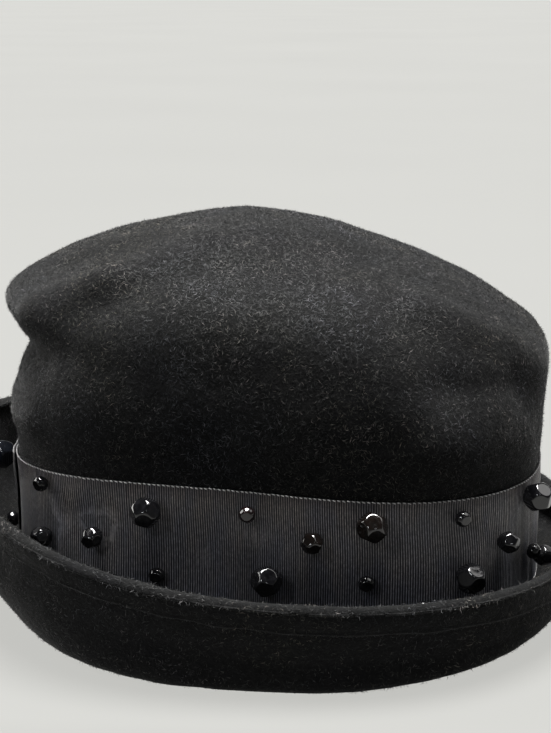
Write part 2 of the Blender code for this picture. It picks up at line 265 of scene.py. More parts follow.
def shade(material):
    tree = material.node_tree
    return tree, tree.nodes, tree.links, tree.nodes["Principled BSDF"]


def new_material(name, roughness, specular, sheen=0.0, sheen_rough=0.5, ior=1.5):
    material = bpy.data.materials.new(name)
    material.use_nodes = True
    _, _, _, shader = shade(material)
    shader.inputs["Roughness"].default_value = roughness
    shader.inputs["Specular IOR Level"].default_value = specular
    shader.inputs["IOR"].default_value = ior
    shader.inputs["Sheen Weight"].default_value = sheen
    shader.inputs["Sheen Roughness"].default_value = sheen_rough
    return material


def node(nodes, kind, **values):
    made = nodes.new(kind)
    for key, value in values.items():
        if key in made.inputs:
            made.inputs[key].default_value = value
        else:
            setattr(made, key, value)
    return made


def noise(nodes, links, coords, scale, detail=3.0, rough=0.6, distortion=0.0):
    made = node(nodes, "ShaderNodeTexNoise", Scale=scale, Detail=detail, Roughness=rough, Distortion=distortion)
    links.new(coords, made.inputs["Vector"])
    return made.outputs["Fac"]


def ramp(nodes, links, value, stops):
    """A colour ramp: stops are (place, red, green, blue)."""
    made = nodes.new("ShaderNodeValToRGB")
    elements = made.color_ramp.elements
    while len(elements) < len(stops):
        elements.new(0.5)
    for element, (place, *colour) in zip(elements, stops):
        element.position = place
        element.color = (*colour, 1.0)
    links.new(value, made.inputs["Fac"])
    return made.outputs["Color"]


def mixed(nodes, links, kind, factor, a, b):
    made = nodes.new("ShaderNodeMix")
    made.data_type = "RGBA"
    made.blend_type = kind
    made.inputs["Factor"].default_value = factor
    links.new(a, made.inputs["A"])
    links.new(b, made.inputs["B"])
    return made.outputs["Result"]


def bumped(nodes, links, shader, heights):
    """Adds bumps one after another: (height socket, distance in m, strength)."""
    last = None
    for height, distance, strength in heights:
        made = node(nodes, "ShaderNodeBump", Distance=distance, Strength=strength)
        links.new(height, made.inputs["Height"])
        if last is not None:
            links.new(last, made.inputs["Normal"])
        last = made.outputs["Normal"]
    links.new(last, shader.inputs["Normal"])


# ---------------------------------------------------------------- materials
def felt_material():
    """Matted black fibres: fine grain, felting clouds and a slight brown-green cast in places."""
    material = new_material("felt_black", 0.92, 0.12, sheen=0.05, sheen_rough=0.45)
    _, nodes, links, shader = shade(material)
    coords = nodes.new("ShaderNodeTexCoord").outputs["Object"]
    grain = noise(nodes, links, coords, 1400.0, 2.0, 0.7)
    tufts = noise(nodes, links, coords, 420.0, 4.0, 0.65, 0.6)
    clouds = noise(nodes, links, coords, 38.0, 3.0, 0.55)
    dark = ramp(nodes, links, tufts, [(0.30, 0.0016, 0.0017, 0.0019), (0.52, 0.0036, 0.0037, 0.0039), (0.72, 0.0080, 0.0080, 0.0082)])
    cast = ramp(nodes, links, clouds, [(0.35, 0.80, 0.80, 0.86), (0.65, 1.0, 1.0, 0.94)])
    fine = ramp(nodes, links, grain, [(0.35, 0.7, 0.7, 0.7), (0.70, 1.0, 1.0, 1.0)])
    links.new(mixed(nodes, links, "MULTIPLY", 1.0, mixed(nodes, links, "MULTIPLY", 1.0, dark, cast), fine), shader.inputs["Base Color"])
    bumped(nodes, links, shader, [(tufts, 0.0007, 0.8), (grain, 0.0002, 0.6)])
    return material


def nap_material(name, low, high):
    """Single hairs: each has its own shade, from the fibre's place on the map, and lighter tips."""
    material = new_material(name, 0.6, 0.2, sheen=0.10, sheen_rough=0.3)
    _, nodes, links, shader = shade(material)
    place = nodes.new("ShaderNodeSeparateXYZ")
    links.new(node(nodes, "ShaderNodeUVMap", uv_map="OFBake").outputs["UV"], place.inputs["Vector"])
    tone = ramp(nodes, links, place.outputs["X"], [
        (0.0, low, low, 1.1 * low), (0.32, 1.3 * low, 1.3 * low, 1.45 * low), (0.52, 0.30 * high, 0.30 * high, 0.32 * high),
        (0.74, 0.72 * high, 0.72 * high, 0.71 * high), (0.90, 1.7 * high, 1.69 * high, 1.6 * high),
        (0.943, 2.7 * high, 2.68 * high, 2.55 * high), (0.957, 4.5 * high, 4.0 * high, 3.9 * high)])
    tips = ramp(nodes, links, place.outputs["Y"], [(0.0, 0.55, 0.55, 0.58), (0.5, 1.0, 1.0, 1.0), (1.0, 0.9, 0.9, 0.92)])
    clouds = noise(nodes, links, nodes.new("ShaderNodeTexCoord").outputs["Object"], 30.0, 3.0, 0.55)
    cast = ramp(nodes, links, clouds, [(0.36, 0.86, 0.92, 1.08), (0.50, 1.0, 1.0, 1.0), (0.64, 1.08, 1.05, 0.88)])
    links.new(mixed(nodes, links, "MULTIPLY", 1.0, mixed(nodes, links, "MULTIPLY", 1.0, tone, tips), cast), shader.inputs["Base Color"])
    return material


def ribbon_material():
    """Ribbed black weave: painted highlights on the rib tops and painted shade in the valleys, broken by the weft;
    darker along the top edge, with painted shade that darkens it, bluish, towards the bottom.
    """
    material = new_material("ribbon_black", 0.5, 0.4, sheen=0.05, sheen_rough=0.4)
    _, nodes, links, shader = shade(material)

    def maths(kind, a, b=None):
        made = nodes.new("ShaderNodeMath")
        made.operation = kind
        links.new(a, made.inputs[0])
        if b is not None:
            made.inputs[1].default_value = b
        return made.outputs["Value"]

    place = nodes.new("ShaderNodeSeparateXYZ")
    links.new(node(nodes, "ShaderNodeUVMap", uv_map="OFBake").outputs["UV"], place.inputs["Vector"])
    rib = maths("FRACT", maths("MULTIPLY", place.outputs["X"], float(RIB_GROUP)))
    drop = maths("FRACT", maths("MULTIPLY", place.outputs["Y"], float(RIB_BANDS)))
    # Painted highlight and shade: across each rib, the colour is lightened on its top and darkened in its valleys.
    rib_highlight_and_shade = ramp(nodes, links, rib, [(0.0, 0.03, 0.03, 0.04), (0.28, 0.22, 0.22, 0.24), (0.5, 2.2, 2.2, 2.2), (0.72, 0.22, 0.22, 0.24), (1.0, 0.03, 0.03, 0.04)])
    stretch = node(nodes, "ShaderNodeMapping", Scale=(RIB_GROUP * 0.9, RIB_BANDS * 26.0, 1.0))
    links.new(node(nodes, "ShaderNodeUVMap", uv_map="OFBake").outputs["UV"], stretch.inputs["Vector"])
    weft = ramp(nodes, links, noise(nodes, links, stretch.outputs["Vector"], 1.0, 3.0, 0.7), [(0.32, 0.50, 0.50, 0.51), (0.52, 0.95, 0.95, 0.95), (0.72, 1.6, 1.59, 1.56)])
    wide = node(nodes, "ShaderNodeMapping", Scale=(RIB_GROUP * 0.11, RIB_BANDS * 2.6, 1.0))
    links.new(node(nodes, "ShaderNodeUVMap", uv_map="OFBake").outputs["UV"], wide.inputs["Vector"])
    clouds = ramp(nodes, links, noise(nodes, links, wide.outputs["Vector"], 1.0, 2.0, 0.5), [(0.35, 0.78, 0.80, 0.90), (0.65, 1.05, 1.0, 0.97)])
    # Across the band: darker along the top edge, and painted shade that darkens it, bluish, towards the bottom.
    edge = ramp(nodes, links, drop, [(0.0, 0.068, 0.061, 0.062), (0.06, 0.080, 0.072, 0.072), (0.13, 0.120, 0.115, 0.112), (0.60, 0.112, 0.112, 0.116), (0.95, 0.072, 0.077, 0.088), (1.0, 0.09, 0.09, 0.09)])
    colour = mixed(nodes, links, "MULTIPLY", 1.0, mixed(nodes, links, "MULTIPLY", 1.0, mixed(nodes, links, "MULTIPLY", 1.0, edge, rib_highlight_and_shade), weft), clouds)
    links.new(colour, shader.inputs["Base Color"])
    bumped(nodes, links, shader, [(weft, 0.00006, 0.6)])
    return material


def cord_material():
    """Twisted shiny thread of the ribbon's corded edges."""
    material = new_material("ribbon_edge_thread", 0.34, 0.6)
    _, nodes, links, shader = shade(material)
    coords = nodes.new("ShaderNodeTexCoord").outputs["Object"]
    fibres = noise(nodes, links, coords, 1800.0, 2.0, 0.6)
    colour = ramp(nodes, links, fibres, [(0.3, 0.18, 0.18, 0.18), (0.7, 0.38, 0.38, 0.38)])
    links.new(colour, shader.inputs["Base Color"])
    bumped(nodes, links, shader, [(fibres, 0.00008, 0.7)])
    return material


def glass_material(name, deep, lit):
    """Opaque pressed glass: glossy, with faint flow marks and fingered, slightly duller patches."""
    material = new_material(name, 0.07, 0.6, ior=1.56)
    _, nodes, links, shader = shade(material)
    coords = nodes.new("ShaderNodeTexCoord").outputs["Object"]
    flow = noise(nodes, links, coords, 260.0, 2.0, 0.5, 1.2)
    wear = noise(nodes, links, coords, 900.0, 3.0, 0.6)
    links.new(ramp(nodes, links, flow, [(0.4, *deep), (0.7, *lit)]), shader.inputs["Base Color"])
    rough = node(nodes, "ShaderNodeMapRange")
    rough.inputs["From Min"].default_value = 0.4
    rough.inputs["From Max"].default_value = 0.75
    rough.inputs["To Min"].default_value = 0.04
    rough.inputs["To Max"].default_value = 0.16
    links.new(wear, rough.inputs["Value"])
    links.new(rough.outputs["Result"], shader.inputs["Roughness"])
    bumped(nodes, links, shader, [(flow, 0.00010, 0.35), (wear, 0.00002, 0.3)])
    return material


# ---------------------------------------------------------------- felt
def welt_layer(d):
    """Thickness of the turned-over layer at a distance from the rim: it thins towards its soft cut edge."""
    layer = WELT_LAYER - (WELT_LAYER - 1.15) * np.clip((d - 3.0) / 5.0, 0, 1) ** 1.3
    return layer * np.clip((WELT_DEPTH + 0.55 - d) / 0.9, 0, 1) ** 0.8


def make_felt(material):
    """The whole felt as one closed skin; returns it with the places where nap may grow."""
    around = np.linspace(0, 2 * math.pi, AROUND, endpoint=False)
    a = around[:, None]
    crown = levels_by_run(0.12, LEVEL["ribbon_top"] + 0.12, 1.6)
    hidden = np.linspace(crown[-1], LEVEL["join"] - 0.05, 9)[1:]
    trough = levels_by_run(LEVEL["join"], LEVEL["upturn"] + 0.3, 2.2)
    lip = np.array([11.5, 9.4, 7.4, 5.5, 3.8, 2.2, 0.9])
    base = np.concatenate([crown, hidden, trough])
    outer_levels = np.concatenate([np.broadcast_to(base, (AROUND, len(base))), levels_near_rim(around, lip)], axis=1)
    outer = felt(a, outer_levels)
    n_outer = normal_of(felt, a, outer_levels)
    calm = np.ones_like(outer_levels)
    calm *= 1 - np.clip((outer_levels - 5.7) / 0.3, 0, 1) * np.clip((8.6 - outer_levels) / 0.3, 0, 1)
    uneven = 0.34 * waves(outer, 26.0, 3) + 0.13 * waves(outer, 9.0, 4) + 0.05 * waves(outer, 3.6, 5)
    outer = outer + n_outer * (FELT / 2 + uneven * calm)[..., None]

    # The fold at the rim is a half circle over both layers.
    last = len(SECTIONS) - 1.0
    tip = np.full((AROUND, 1), last)
    n = normal_of(felt, a, tip)[:, 0]
    e = felt(a, tip)[:, 0]
    onward = unit(e - felt(a, tip - 0.1)[:, 0])
    half = (FELT + WELT_LAYER) / 2 + WELT_SWELL
    centre = e - n * WELT_LAYER / 2 - onward * half
    turn = np.stack([centre + half * (n * math.cos(t) + onward * math.sin(t)) for t in np.radians(np.linspace(12, 168, 13))], 1)
    turn = turn + unit(turn - centre[:, None]) * (0.10 * waves(turn, 7.0, 8))[..., None]

    # Outside of the brim, with the turned-over layer and its cut edge.
    near = np.array([1.0, 1.8, 2.6, 3.4, 4.2, 5.0, 5.6, 6.1, 6.5, 6.9, 7.3, 7.7, 8.1, 8.5, 8.9, 9.2, 9.38, 9.5, 9.6, 9.75, 10.0, 10.6, 11.5])
    near_levels = levels_near_rim(around, near)
    far_levels = near_levels[:, -1:] + (LEVEL["dip"] - 0.35 - near_levels[:, -1:]) * np.linspace(0, 1, 20)[1:]
    under_levels = np.concatenate([near_levels, far_levels], axis=1)
    under = felt(a, under_levels)
    n_under = normal_of(felt, a, under_levels)
    layer = np.zeros_like(under_levels)
    edge_wander = 0.22 * waves(under[:, 10] * [1, 1, 0], 9.0, 12)
    layer[:, :len(near)] = welt_layer(near[None] + edge_wander[:, None] * np.clip((near - 5.0) / 2.0, 0, 1))
    uneven = 0.16 * waves(under, 18.0, 21) + 0.10 * waves(under, 6.0, 22)
    buckle = 1.1 * np.exp(-(((np.degrees(a) - 216.5) / 2.6) ** 2)) * np.clip((13.0 - under_levels) / 1.0, 0, 1)
    under = under - n_under * (FELT / 2 + layer + uneven + buckle * (under_levels > 11.0))[..., None]
    under[..., 2] = np.maximum(under[..., 2], 0.0)

    # Inside of the crown, which is smooth and hardly seen.
    inside_levels = np.concatenate([levels_by_run(LEVEL["join"] - 0.2, LEVEL["dip"] - 0.4, 3.0)[::-1],
                                    levels_by_run(0.12, LEVEL["join"] - 0.3, 4.2)[::-1]])
    inside = felt(a, np.broadcast_to(inside_levels, (AROUND, len(inside_levels))))
    inside = inside - normal_of(felt, a, inside_levels[None]) * (FELT / 2)
    inside[..., 2] = np.maximum(inside[..., 2], 0.0)

    rings = np.concatenate([outer, turn, under, inside], axis=1)
    rows = rings.shape[1]
    points = np.moveaxis(rings, 1, 0).reshape(-1, 3)
    faces = grid_faces(rows, AROUND)[:, ::-1]
    top = felt(np.array([0.0]), np.array([0.02]))[0]
    poles = np.array([top + [0, 0, FELT / 2], top - [0, 0, FELT / 2]])
    points = np.concatenate([points, poles])
    ring = np.arange(AROUND)
    after = (ring + 1) % AROUND
    cap = np.stack([ring, after, np.full(AROUND, len(points) - 2), np.full(AROUND, len(points) - 2)], -1)
    foot = (rows - 1) * AROUND
    plug = np.stack([foot + after, foot + ring, np.full(AROUND, len(points) - 1), np.full(AROUND, len(points) - 1)], -1)

    triangles = np.concatenate([faces[:, [0, 1, 2]], faces[:, [0, 2, 3]], cap[:, :3], plug[:, :3]])
    # The map runs round and down, so that both sides keep their place.
    run = np.linalg.norm(np.diff(rings, axis=1), axis=-1).mean(0)
    run = np.concatenate([[0.0], np.cumsum(run)])
    down = np.concatenate([np.repeat(0.02 + 0.96 * run / run[-1], AROUND), [0.005, 0.995]])
    across = np.concatenate([np.tile(np.arange(AROUND) / AROUND, rows), [0.5, 0.5]])
    u, v = across[triangles], down[triangles]
    u = np.where((u.max(1, keepdims=True) - u > 0.6), u + 1.0, u)
    uv = np.stack([u * 0.995, v], -1).reshape(-1, 2)
    obj = mesh_from("felt_napped", points, triangles, material, uv=uv)

    count = {"crown": len(crown), "hidden": len(hidden), "trough": len(trough), "lip": len(lip), "turn": 13,
             "near": len(near), "far": 19, "inside": len(inside_levels)}
    ends = dict(zip(count, np.cumsum(list(count.values()))))
    quads = faces.reshape(rows - 1, AROUND, 4)
    areas = {
        "crown": quads[0:ends["crown"]],
        "brim": quads[ends["hidden"] + 3:ends["far"] - 1],
    }
    return obj, points, vertex_normals(points, faces), areas


# ---------------------------------------------------------------- nap
def make_nap(name, points, normals, quads, material, seed, thin_inside=None):
    """Short bent hairs, each two long triangles, lying on the felt in every direction."""
    number, shortest, longest, width, highest = NAP[name]
    rng = np.random.default_rng(seed)
    quads = quads.reshape(-1, 4)
    p = points[quads]
    area = np.linalg.norm(np.cross(p[:, 2] - p[:, 0], p[:, 3] - p[:, 1]), axis=-1) / 2
    pick = rng.choice(len(quads), number, p=area / area.sum())
    s, t = rng.random((2, number, 1))
    corners, sides = points[quads[pick]], normals[quads[pick]]
    weights = np.stack([(1 - s) * (1 - t), s * (1 - t), s * t, (1 - s) * t], 1)
    root = (corners * weights).sum(1)
    n = unit((sides * weights).sum(1))
    lay = unit(np.cross(n, rng.normal(size=(number, 3))))
    side = np.cross(n, lay)
    long = shortest + (longest - shortest) * rng.random((number, 1)) ** 1.4
    bow = rng.uniform(-0.28, 0.28, (number, 1)) * long
    lift_mid = rng.uniform(0.06, 0.34, (number, 1))
    lift_tip = np.where(rng.random((number, 1)) < 0.30, rng.uniform(0.3, highest, (number, 1)), rng.uniform(0.0, 0.32, (number, 1)))
    middle = root + lay * long * 0.5 + side * bow + n * lift_mid
    tip = root + lay * long * 0.97 + n * lift_tip
    start = root - n * 0.04
    # The darker ones are thin; the rest are paler, and thicker where hairs lie together.
    tone = np.clip(rng.random(number) + 0.07 * waves(root, 5.0, seed + 7) + 0.05 * waves(root, 18.0, seed + 8), 0, 0.985)
    tone[rng.random(number) < 0.002] = 1.0
    thick = 0.75 + 0.6 * np.clip((tone - 0.40) / 0.3, 0, 1)[:, None]
    roll = rng.uniform(-0.7, 0.7, (number, 1))
    edge = (side * np.cos(roll) + n * np.sin(roll)) * (width / 2 * thick * rng.uniform(0.8, 1.2, (number, 1)))
    for end in (middle, tip, start):
        end[:, 2] = np.maximum(end[:, 2], 0.03)
    hairs = np.stack([start, middle - edge, middle + edge, tip], 1).reshape(-1, 3)
    k = 4 * np.arange(number)[:, None]
    faces = np.concatenate([k + [0, 1, 2], k + [3, 2, 1]], axis=1).reshape(-1, 3)
    u0 = 0.01 + 0.95 * tone
    u = np.stack([u0 + 0.01, u0, u0 + 0.02, u0 + 0.01], 1)
    v = np.broadcast_to([0.02, 0.5, 0.5, 0.98], u.shape)
    uv = np.stack([u, v], -1).reshape(-1, 2)[faces.ravel()]
    # Hairs take the light much as the felt under them does, each with a small lean of its own.
    lean = unit(n + side * rng.normal(0, 0.16, (number, 1)) + lay * rng.normal(0, 0.16, (number, 1)))
    return mesh_from(name, hairs, faces, material, uv=uv, normals=np.repeat(lean, 4, axis=0))


# ---------------------------------------------------------------- ribbon
def ribbon_level(drop):
    return LEVEL["ribbon_top"] + drop / RIBBON_WIDTH * RIBBON_SPAN


def band_frame(turn, drops):
    """Felt middle and normal at turn (degrees) by drop, read off a one-degree net."""
    net = np.radians(np.arange(0, 361, 1.0))[:, None]
    level = np.broadcast_to(ribbon_level(np.asarray(drops, float))[None], (361, len(drops)))
    place, n = felt(net, level), normal_of(felt, net, level)
    at = np.asarray(turn, float) % 360
    k = np.floor(at).astype(int)
    f = (at - k)[:, None, None]
    return place[k] * (1 - f) + place[k + 1] * f, unit(n[k] * (1 - f) + n[k + 1] * f)


def lap_rise(turn):
    rise = np.clip((turn - (LAP_AT - 10.0)) / 10.0, 0, 1)
    return rise * rise * (3 - 2 * rise) * (RIBBON + RIBBON_GAP)


def pucker(turn, drops):
    """How far the band stands off its lie, where the bead threads pull it in and it bulges between."""
    t, d = np.radians(np.asarray(turn, float))[:, None] * 90.0, np.asarray(drops, float)[None]
    flat = np.stack(np.broadcast_arrays(t, d * 1.0, 0.0 * t), -1)
    swell = 0.36 * waves(flat * [0.7, 0.8, 1.0], 15.0, 31) + 0.03 * waves(flat * [1.0, 0.8, 1.0], 6.0, 32)
    edge = np.clip(d / 3.0, 0.25, 1) * np.clip((RIBBON_WIDTH - d) / 3.0, 0.25, 1)
    total = (0.12 + swell) * edge
    for size, around, drop, _, _ in BEADS:
        wide = BEAD_SIZES[size] / 2
        x = ((np.asarray(turn, float)[:, None] - around + 180) % 360 - 180) * math.pi / 180 * 90.0
        r = np.hypot(x, d - drop)
        angle = np.arctan2(d - drop, x)
        total = total + 0.09 * np.cos(4 * angle + around) * np.exp(-(((r - wide - 2.0) / 2.6) ** 2))
        total = total - 0.22 * np.exp(-((r / (wide + 0.6)) ** 2))
    return np.clip(total, -0.28, 0.62)


def make_ribbon(material):
    ribs = int(round((360.0 + LAP_LENGTH) / 360.0 * perimeter() / RIB))
    columns = ribs * RIB_COLUMNS + 1
    turn = np.linspace(LAP_AT - 360.0, LAP_AT + LAP_LENGTH, columns)
    drops = np.concatenate([[0.0, 0.5], np.linspace(1.6, RIBBON_WIDTH - 1.6, 10), [RIBBON_WIDTH - 0.5, RIBBON_WIDTH]])
    place, n = band_frame(turn, drops)
    rng = np.random.default_rng(41)
    phase = (np.arange(columns) % RIB_COLUMNS) / RIB_COLUMNS
    heavy = 1 + 0.35 * rng.normal(size=ribs + 1)[np.arange(columns) // RIB_COLUMNS]
    profile = -RIB_DEEP * np.clip(heavy, 0.4, 1.7) * (1 - np.abs(np.sin(math.pi * phase)) ** 0.8)
    lift = FELT / 2 + RIBBON_GAP + RIBBON + lap_rise(turn)[:, None] + pucker(turn, drops)
    lift = lift + profile[:, None] * np.where((drops < 0.4) | (drops > RIBBON_WIDTH - 0.4), 0.3, 1.0)
    front = place + n * lift[..., None]
    behind = place[:, [0, -1]] + n[:, [0, -1]] * (FELT / 2 + RIBBON_GAP + lap_rise(turn)[:, None, None])
    # Rows: down the front, then back up behind, closed into a sleeve and capped at both ends.
    sleeve = np.concatenate([front, behind[:, ::-1]], axis=1)
    around = sleeve.shape[1]
    points = sleeve.reshape(-1, 3)
    faces = grid_faces(columns, around)
    rows = len(drops)
    ends = []
    for base, flip in ((0, False), ((columns - 1) * around, True)):
        # Both ends are closed by a fan of four-cornered faces between the front and the back.
        for k in range(rows - 1):
            low, high = base + k, base + k + 1
            share = (base + around - 1) if k < (rows - 1) / 2 else (base + around - 2)
            ends.append([low, high, share] if flip else [high, low, share])
        m = base + int(math.ceil((rows - 1) / 2))
        ends.append([base + around - 1, m, base + around - 2] if flip else [m, base + around - 1, base + around - 2])
    triangles = np.concatenate([faces[:, [0, 1, 2]], faces[:, [0, 2, 3]], np.array(ends)])
    # The map holds each rib in its own strip, and the ribs' groups one above the other.
    column = np.arange(columns - 1).repeat(around)
    rib = column // RIB_COLUMNS
    left = (rib % RIB_GROUP + (column % RIB_COLUMNS) / RIB_COLUMNS) / RIB_GROUP
    down = np.concatenate([0.03 + 0.94 * drops / RIBBON_WIDTH, [0.95, 0.05]])
    j = np.tile(np.arange(around), columns - 1)
    base_v = (rib // RIB_GROUP % RIB_BANDS) / RIB_BANDS
    corner_u = np.stack([left, left, left + 1 / RIB_COLUMNS / RIB_GROUP, left + 1 / RIB_COLUMNS / RIB_GROUP], 1)
    corner_v = np.stack([base_v + down[j] / RIB_BANDS, base_v + down[(j + 1) % around] / RIB_BANDS,
                         base_v + down[(j + 1) % around] / RIB_BANDS, base_v + down[j] / RIB_BANDS], 1)
    quad_uv = np.stack([corner_u, corner_v], -1)
    end_uv = np.full((len(ends), 3, 2), 0.5 / RIB_GROUP)
    uv = np.concatenate([quad_uv[:, [0, 1, 2]], quad_uv[:, [0, 2, 3]], end_uv]).reshape(-1, 2)
    # Its normals are held level, as cloth on edge takes no light from straight above.
    level = vertex_normals(points, faces)
    level[:, 2] = np.clip(level[:, 2], -0.45, 0.06)
    return mesh_from("ribbon_ribbed", points, triangles, material, uv=uv, normals=unit(level)), lift


def perimeter():
    """Length of the band round the hat, mm."""
    place, n = band_frame(np.arange(0, 361, 1.0) % 360, [20.0])
    line = (place + n * (FELT / 2 + RIBBON_GAP + RIBBON))[:, 0]
    return float(np.linalg.norm(np.diff(line, axis=0), axis=-1).sum())


def capsules(name, starts, ends, radius, across, material, sides=6):
    """Short plump threads between pairs of points, round or flattened, with `across` the way they are wide."""
    along = unit(ends - starts)
    wide = unit(across - (across * along).sum(-1, keepdims=True) * along)
    tall = np.cross(along, wide)
    long = np.linalg.norm(ends - starts, axis=-1, keepdims=True)
    rings = []
    for share, fat in ((0.06, 0.55), (0.26, 0.95), (0.5, 1.0), (0.74, 0.95), (0.94, 0.55)):
        centre = starts + along * long * share
        for k in range(sides):
            t = 2 * math.pi * k / sides
            rings.append(centre + (wide * math.cos(t) + tall * math.sin(t)) * radius * fat)
    number, steps = len(starts), 5
    points = np.concatenate([np.stack(rings, 1), starts[:, None], ends[:, None]], axis=1)
    each = points.shape[1]
    one = [f for f in grid_faces(steps, sides)]
    triangles = [[f[0], f[1], f[2]] for f in one] + [[f[0], f[2], f[3]] for f in one]
    for k in range(sides):
        j = (k + 1) % sides
        triangles.append([j, k, each - 2])
        triangles.append([(steps - 1) * sides + k, (steps - 1) * sides + j, each - 1])
    faces = (np.array(triangles)[None] + (each * np.arange(number))[:, None, None]).reshape(-1, 3)
    return mesh_from(name, points.reshape(-1, 3), faces, material)


def make_cords(material):
    """Slanted stitches that finish the ribbon's two edges."""
    count = int(perimeter() * (360.0 + LAP_LENGTH) / 360.0 / CORD_PITCH)
    turn = np.linspace(LAP_AT - 359.6, LAP_AT + LAP_LENGTH - 0.4, count)
    rng = np.random.default_rng(51)
    made = []
    for name, at, slant in (("ribbon_edge_top", 0.10, 1.0), ("ribbon_edge_bottom", RIBBON_WIDTH - 0.10, -1.0)):
        step = (turn[1] - turn[0]) * 0.36
        low, high = turn - step, turn + step
        drift = rng.normal(0, 0.05, count)
        lift = FELT / 2 + RIBBON_GAP + RIBBON - 0.05 + rng.normal(0, 0.03, count)
        ends = []
        for t, d in ((low, at - 0.22 * slant), (high, at + 0.22 * slant)):
            place, n = band_frame(t, [d])
            raised = lift + lap_rise(t) + pucker(t, [min(max(d, 0.0), RIBBON_WIDTH)])[:, 0]
            ends.append(place[:, 0] + n[:, 0] * raised[:, None] + np.array([0, 0, 1.0]) * drift[:, None])
        made.append(capsules(name, ends[0], ends[1], 0.21, n[:, 0], material))
    return made


# ---------------------------------------------------------------- beads
def ball_points(across, deep, fine):
    """Twelve facets with softened edges and cut corners, facing +Z, on a fine sphere."""
    bm = bmesh.new()
    bmesh.ops.create_icosphere(bm, subdivisions=1, radius=1.0)
    facets = np.array([v.co.normalized() for v in bm.verts])
    corners = np.array([f.calc_center_median().normalized() for f in bm.faces])
    bm.free()
    bm = bmesh.new()
    bmesh.ops.create_icosphere(bm, subdivisions=fine, radius=1.0)
    way = unit(np.array([v.co for v in bm.verts]))
    faces = np.array([[v.index for v in f.verts] for f in bm.faces])
    bm.free()
    reach = np.concatenate([np.clip(way @ facets.T, 0, None) / 0.7947, np.clip(way @ corners.T, 0, None) / 0.9286], axis=1)
    points = way / ((reach**46).sum(1) ** (1 / 46))[:, None]
    wide, tall = np.hypot(points[:, 0], points[:, 1]).max(), points[:, 2].max()
    return points * [across / 2 / wide, across / 2 / wide, deep / 2 / tall], faces


def disc_points(across, deep):
    """A nine-sided cut disc, its table, back and facets softened at the edges."""
    bm = bmesh.new()
    bmesh.ops.create_icosphere(bm, subdivisions=4, radius=1.0)
    way = unit(np.array([v.co for v in bm.verts]) * [1.0, 1.0, 0.75])
    faces = np.array([[v.index for v in f.verts] for f in bm.faces])
    bm.free()
    half = deep / across
    planes = [((0, 0, 1), half), ((0, 0, -1), half)]
    for k in range(9):
        for turned, rise, far in ((0.0, 0.62, 0.98), (0.0, -0.62, 0.98), (0.5, 0.0, 0.985)):
            a = 2 * math.pi * (k + turned) / 9
            v = np.array([math.cos(a) * math.cos(rise), math.sin(a) * math.cos(rise), math.sin(rise)])
            planes.append((v, far * (math.cos(rise) * 0.93 + abs(math.sin(rise)) * half * 0.52) if rise else far))
    reach = np.stack([np.clip(way @ np.asarray(v, float), 0, None) / d for v, d in planes], 1)
    points = way / ((reach**60).sum(1) ** (1 / 60))[:, None]
    wide, tall = np.hypot(points[:, 0], points[:, 1]).max(), points[:, 2].max()
    return points * [across / 2 / wide, across / 2 / wide, deep / 2 / tall], faces


def bead_place(size, around, drop, spin, tip, corners):
    """Where a bead sits: its lowest corner just off the ribbon, its facet leaning by `tip` towards `spin`."""
    a = np.array([math.radians(around)])
    d = np.array([float(drop)])
    n = normal_of(felt, a, ribbon_level(d))[0]
    lapped = LAP_AT - 12.0 < around % 360 < LAP_AT + LAP_LENGTH + 2.0
    turn = np.array(Matrix.Rotation(math.radians(spin), 3, "Z") @ Matrix.Rotation(math.radians(tip), 3, "X"))
    below = -(corners @ turn.T)[:, 2].min()
    lift = RIBBON_GAP + RIBBON + BEAD_GAP + below + (RIBBON + RIBBON_GAP if lapped else 0.0)
    centre = felt(a, ribbon_level(d))[0] + n * (FELT / 2 + lift)
    x = unit(np.cross([0, 0, 1.0], n))
    return np.stack([x, np.cross(n, x), n], -1) @ turn, centre


BEAD_GLASS = {  # the beads that the light shows as brownish, reddish or bluish
    "bead_large_04": "brown", "bead_medium_03": "brown", "bead_small_04": "red", "bead_large_01": "blue",
    "bead_large_09": "brown", "bead_medium_08": "brown", "bead_small_12": "red", "bead_large_11": "blue",
}


def make_beads(glasses):
    shapes = {
        "large": ball_points(BEAD_SIZES["large"], BEAD_DEEP["large"], 5),
        "medium": ball_points(BEAD_SIZES["medium"], BEAD_DEEP["medium"], 4),
        "small": disc_points(BEAD_SIZES["small"], BEAD_DEEP["small"]),
    }
    count = dict.fromkeys(shapes, 0)
    for size, around, drop, spin, tip in BEADS:
        count[size] += 1
        cad = f"bead_{size}_{count[size]:02d}"
        points, faces = shapes[size]
        turn, centre = bead_place(size, around, drop, spin, tip, points)
        glass = glasses[BEAD_GLASS.get(cad, "jet")]
        obj = mesh_from(cad.replace("bead_", "glass_bead_"), points @ turn.T + centre, faces, glass)
        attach(obj, "root")
        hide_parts(cad)


# ---------------------------------------------------------------- the hat
looks = bpy.data.collections.new("cloche_hat_looks")
bpy.context.scene.collection.children.link(looks)

felt_obj, skin, skin_normals, areas = make_felt(felt_material())
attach(felt_obj, "root")
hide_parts("felt_body")

nap = nap_material("nap_fibres", 0.0020, 0.0200)
for name, area, seed in (("nap_crown_a", "crown", 101), ("nap_crown_b", "crown", 102), ("nap_brim", "brim", 103)):
    piece = make_nap(name, skin, skin_normals, areas[area], nap, seed)
    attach(piece, "root")

ribbon_obj, _ = make_ribbon(ribbon_material())
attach(ribbon_obj, "root")
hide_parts("ribbon_band")
cords = make_cords(cord_material())
for piece in cords:
    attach(piece, "root")
perimeter() * (360.0 + LAP_LENGTH) / 360.0 * MM

make_beads({
    "jet": glass_material("glass_jet", (0.0020, 0.0020, 0.0024), (0.0060, 0.0060, 0.0070)),
    "brown": glass_material("glass_jet_brown", (0.0024, 0.0019, 0.0017), (0.0050, 0.0034, 0.0028)),
    "red": glass_material("glass_jet_red", (0.0038, 0.0020, 0.0020), (0.0130, 0.0060, 0.0058)),
    "blue": glass_material("glass_jet_blue", (0.0020, 0.0024, 0.0034), (0.0060, 0.0072, 0.0105)),
})

